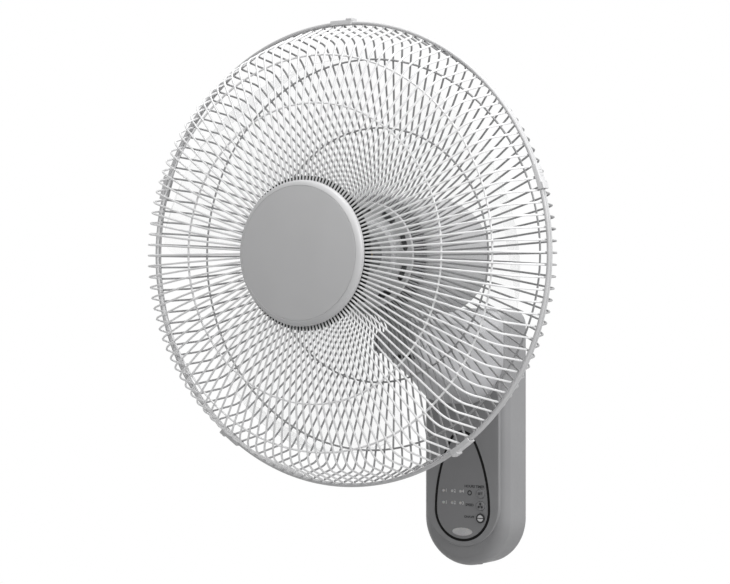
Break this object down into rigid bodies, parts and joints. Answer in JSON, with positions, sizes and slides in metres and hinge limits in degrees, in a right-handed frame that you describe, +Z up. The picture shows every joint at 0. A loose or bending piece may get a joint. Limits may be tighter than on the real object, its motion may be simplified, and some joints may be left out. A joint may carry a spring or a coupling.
{
  "type": "wall mounted fan",
  "caption": "Wall fan: rounded wall box with an egg shaped control panel, arm with tilt and swing neck, motor, and clear blades in a round wire cage.",
  "frame": {"origin": "centre of the mounting plate's back face, on the wall", "axes": "+X to the right seen from the front, +Y into the wall, +Z up; the fan blows towards -Y"},
  "size_m": [0.4501, 0.3664, 0.5542],
  "materials": {
    "housing_grey": "satin moulded plastic, mid grey",
    "back_grey": "matt moulded plastic, grey",
    "arm_grey": "satin moulded plastic, light grey",
    "yoke_grey": "satin moulded plastic, grey",
    "knob_grey": "matt ribbed plastic, dark grey",
    "motor_grey": "satin moulded plastic, grey",
    "bell_black": "black painted sheet metal",
    "hoop_grey": "satin moulded plastic, light grey",
    "badge_grey": "smooth satin plastic, light grey, bare",
    "plate_grey": "satin moulded plastic, light grey",
    "nut_grey": "matt moulded plastic, grey",
    "wire_paint": "powder coated steel wire, pale grey",
    "clear_blade": "clear moulded plastic",
    "panel_grey": "smooth printed plastic, dark grey",
    "button_grey": "smooth plastic, dark grey",
    "button_white": "smooth plastic, pale grey with a dark ring",
    "ir_grey": "smoky translucent plastic",
    "led_lens": "frosted translucent plastic",
    "black_trim": "matt black plastic",
    "black_rubber": "black rubber",
    "board_green": "glass fibre board with green solder mask",
    "zinc_steel": "zinc plated steel sheet",
    "screw_steel": "zinc plated steel",
    "shaft_steel": "ground steel",
    "core_steel": "laminated electrical steel",
    "winding_copper": "enamelled copper wire, wound and tied",
    "sinter_bronze": "sintered bronze",
    "nylon": "white nylon"
  },
  "bodies": {
    "base": {"base_housing": "housing_grey", "base_back": "back_grey", "wall_plate": "zinc_steel", "base_screws": "screw_steel", "cable_inlet": "black_rubber", "panel_gasket": "black_trim", "control_panel": "panel_grey", "ir_window": "ir_grey", "indicator_leds": "led_lens", "control_board": "board_green", "tact_switches": "black_trim", "board_parts": "black_trim", "arm": "arm_grey", "arm_screws": "screw_steel", "tilt_bolt": "screw_steel"},
    "tilt": {"tilt_yoke": "yoke_grey", "swing_shaft": "screw_steel", "swing_washer": "nylon"},
    "head": {"motor_front_bell": "bell_black", "motor_rear_housing": "motor_grey", "motor_screws": "screw_steel", "stator_core": "core_steel", "stator_windings": "winding_copper", "front_bearing": "sinter_bronze", "bearing_bracket": "zinc_steel", "rear_bearing": "sinter_bronze", "run_capacitor": "black_trim", "swing_motor": "zinc_steel", "front_guard_wires": "wire_paint", "rear_guard_wires": "wire_paint", "front_guard_rings": "wire_paint", "rear_guard_rings": "wire_paint", "front_guard_rim": "wire_paint", "rear_guard_rim": "wire_paint", "rear_guard_plate": "plate_grey", "guard_nut": "nut_grey", "guard_clips": "hoop_grey", "badge": "badge_grey", "badge_ring": "black_trim", "badge_screws": "screw_steel"},
    "rotor": {"blade": "clear_blade", "blade_nut": "nut_grey", "motor_shaft": "shaft_steel", "drive_pin": "shaft_steel", "rotor_core": "core_steel"},
    "knob": {"tilt_knob": "knob_grey"},
    "timer_button": {"button_timer": "button_grey"},
    "speed_button": {"button_speed": "button_grey"},
    "power_button": {"button_power": "button_white"}
  },
  "joints": [
    {"name": "tilt", "type": "hinge", "parent": "base", "child": "tilt", "pos_m": [0, -0.165, 0.102], "axis": [1, 0, 0], "range_deg": [-5, 25]},
    {"name": "swing", "type": "hinge", "parent": "tilt", "child": "head", "pos_m": [0, -0.165, 0.128], "axis": [0, 0, 1], "range_deg": [-40, 40]},
    {"name": "fan_spin", "type": "hinge", "parent": "head", "child": "rotor", "pos_m": [0, -0.283, 0.19], "axis": [0, -1, 0], "continuous": true},
    {"name": "tilt_knob_turn", "type": "hinge", "parent": "base", "child": "knob", "pos_m": [-0.02, -0.165, 0.102], "axis": [1, 0, 0], "range_deg": [-170, 170]},
    {"name": "timer_press", "type": "slide", "parent": "base", "child": "timer_button", "axis": [0, 1, 0], "range_m": [0, 0.001], "stiffness_N_per_m": 600},
    {"name": "speed_press", "type": "slide", "parent": "base", "child": "speed_button", "axis": [0, 1, 0], "range_m": [0, 0.001], "stiffness_N_per_m": 600},
    {"name": "power_press", "type": "slide", "parent": "base", "child": "power_button", "axis": [0, 1, 0], "range_m": [0, 0.001], "stiffness_N_per_m": 600}
  ]
}
